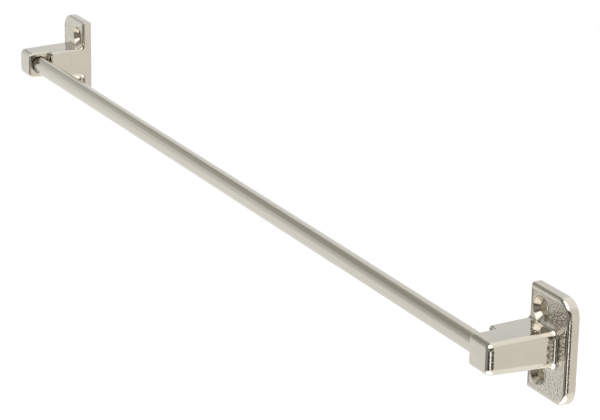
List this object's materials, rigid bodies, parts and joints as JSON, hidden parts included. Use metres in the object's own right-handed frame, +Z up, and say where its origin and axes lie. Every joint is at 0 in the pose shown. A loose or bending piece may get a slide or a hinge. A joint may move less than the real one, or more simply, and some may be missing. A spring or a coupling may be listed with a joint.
{
  "type": "tie and belt rack",
  "caption": "Wall rail for hanging ties and belts: a round nickel bar carried at its ends in the pockets of cast arms with countersunk screw plates.",
  "frame": {"origin": "on the wall plane, midway along the rail and level with the middle of the arms", "axes": "+X along the rail to the right-hand bracket, +Y into the wall, +Z up; the bar stands out towards -Y"},
  "size_m": [0.46, 0.0315, 0.04],
  "materials": {
    "cast_nickel": "bright nickel plate over a die casting, with a finely pebbled plate face",
    "bar_nickel": "satin nickel plate on drawn round bar"
  },
  "bodies": {
    "brackets": {"left_bracket": "cast_nickel", "right_bracket": "cast_nickel"},
    "bar": {"bar": "bar_nickel"}
  },
  "joints": [
    {"name": "bar_turn", "type": "hinge", "parent": "brackets", "child": "bar", "pos_m": [0, -0.0256, 0], "axis": [1, 0, 0], "continuous": true}
  ]
}
